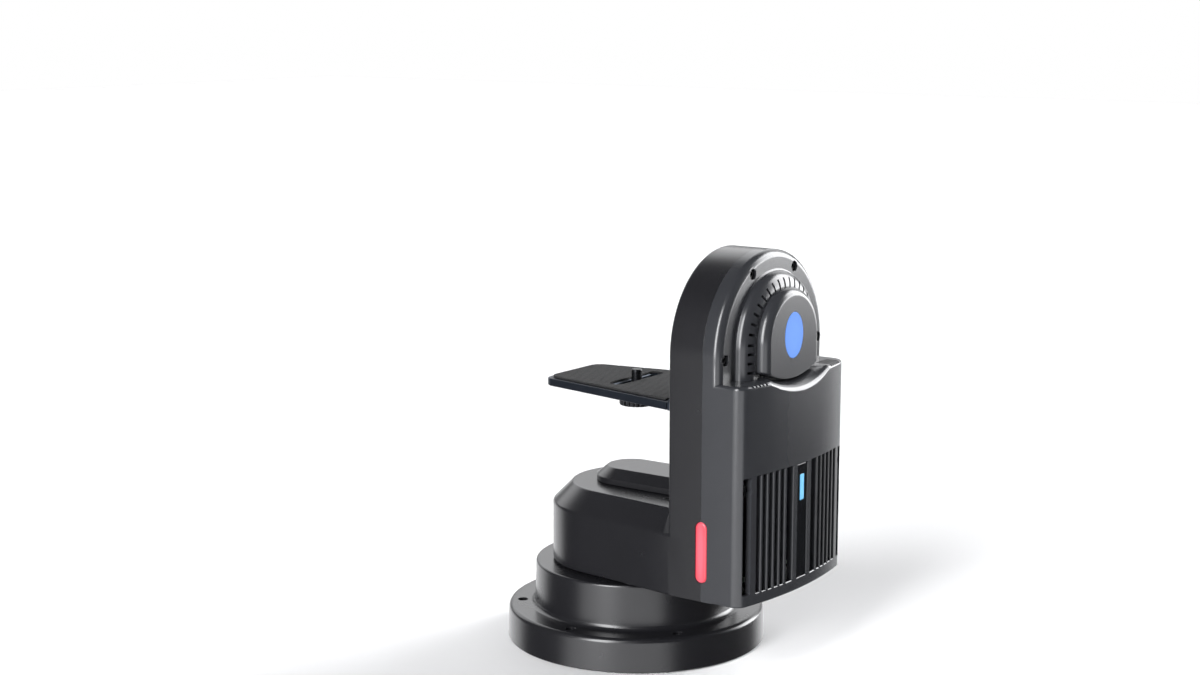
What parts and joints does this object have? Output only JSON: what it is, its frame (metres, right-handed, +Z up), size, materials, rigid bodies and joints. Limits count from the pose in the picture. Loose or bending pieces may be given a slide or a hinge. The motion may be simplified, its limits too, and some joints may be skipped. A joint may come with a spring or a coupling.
{
  "type": "remote pan tilt head",
  "caption": "Motorised pan tilt head: a round base, a turret that pans on it, and a louvred side arm whose shaft tilts a slotted camera tray with a captive camera screw.",
  "frame": {"origin": "on the pan axis, at the underside of the base", "axes": "+Z up along the pan axis; +X towards the outer face of the arm, along the tilt axis; -Y the way the camera looks, on the tally light's side"},
  "size_m": [0.1862, 0.15, 0.2328],
  "materials": {
    "cast_paint": "satin charcoal paint with a fine grain over die-cast aluminium",
    "moulded_plastic": "satin charcoal with a fine moulded grain",
    "black_plastic": "matt black",
    "black_rubber": "matt black",
    "dark_anodised": "dark blue-grey anodised, bead blasted",
    "bare_aluminium": "machined",
    "bright_steel": "ground",
    "black_steel": "black oxide",
    "gear_brass": "cut brass, lightly greased",
    "board_green": "green solder mask",
    "red_lens": "translucent red, lit from behind",
    "blue_window": "translucent blue, lit from behind",
    "blue_tag": "plain light blue film"
  },
  "bodies": {
    "base": {"base_housing": "cast_paint", "bottom_plate": "dark_anodised", "pan_post": "bare_aluminium", "pan_bearing_inner_ring": "bright_steel", "pan_gear": "gear_brass", "pan_clamp_ring": "bright_steel", "connector_panel": "black_plastic", "network_socket_left": "bare_aluminium", "network_socket_right": "bare_aluminium", "power_socket": "black_plastic", "base_board": "board_green", "flange_screw_1": "black_steel", "flange_screw_2": "black_steel", "flange_screw_3": "black_steel", "flange_screw_4": "black_steel"},
    "yoke": {"turret_housing": "cast_paint", "arm_housing": "cast_paint", "turret_plate": "bare_aluminium", "pan_bearing_outer_ring": "bright_steel", "neck_seal": "black_rubber", "turret_cap": "moulded_plastic", "pan_motor": "black_steel", "pan_motor_bracket": "bare_aluminium", "arm_cover": "moulded_plastic", "tally_lens": "red_lens", "tally_board": "board_green", "status_window": "blue_window", "status_board": "board_green", "label_strip": "black_plastic", "label_tag": "blue_tag", "drive_plate": "bare_aluminium", "tilt_motor": "black_steel", "main_board": "board_green", "heat_sink": "bare_aluminium", "turret_screw_1": "black_steel", "turret_screw_2": "black_steel", "cover_screw_1": "black_steel", "cover_screw_2": "black_steel", "cover_screw_3": "black_steel", "cover_screw_4": "black_steel", "cover_screw_5": "black_steel", "cover_screw_6": "black_steel", "tilt_bearing_outer_ring_near": "bright_steel", "tilt_bearing_outer_ring_far": "bright_steel"},
    "pan_pinion": {"pan_pinion": "gear_brass", "pan_motor_shaft": "bright_steel"},
    "tilt_pinion": {"tilt_pinion": "gear_brass", "tilt_motor_shaft": "bright_steel"},
    "tilt_cradle": {"tilt_shaft": "bright_steel", "tilt_gear": "gear_brass", "shaft_ring": "black_steel", "bracket_plate": "dark_anodised", "camera_tray": "dark_anodised", "tray_pad": "black_rubber", "tilt_bearing_inner_ring_near": "bright_steel", "tilt_bearing_inner_ring_far": "bright_steel"},
    "screw_carriage": {"screw_washer": "bright_steel"},
    "camera_screw": {"camera_screw": "black_steel"}
  },
  "joints": [
    {"name": "pan", "type": "hinge", "parent": "base", "child": "yoke", "pos_m": [0, 0, 0.052], "axis": [0, 0, 1], "range_deg": [-170, 170]},
    {"name": "pan_pinion_spin", "type": "hinge", "parent": "yoke", "child": "pan_pinion", "pos_m": [0.036, 0, 0.06], "axis": [0, 0, 1], "range_deg": [-520, 520]},
    {"name": "tilt", "type": "hinge", "parent": "yoke", "child": "tilt_cradle", "pos_m": [0.0755, 0, 0.1785], "axis": [1, 0, 0], "range_deg": [-90, 45]},
    {"name": "tilt_pinion_spin", "type": "hinge", "parent": "yoke", "child": "tilt_pinion", "pos_m": [0.0755, 0, 0.1425], "axis": [1, 0, 0], "range_deg": [-140, 275]},
    {"name": "screw_slide", "type": "slide", "parent": "tilt_cradle", "child": "screw_carriage", "axis": [0, 1, 0], "range_m": [-0.018, 0.018]},
    {"name": "screw_turn", "type": "hinge", "parent": "screw_carriage", "child": "camera_screw", "pos_m": [0, 0, 0.14], "axis": [0, 0, 1], "continuous": true}
  ],
  "couplings": [
    {"joint": "pan_pinion_spin", "follows": "pan", "ratio": 3},
    {"joint": "tilt_pinion_spin", "follows": "tilt", "ratio": -3}
  ]
}
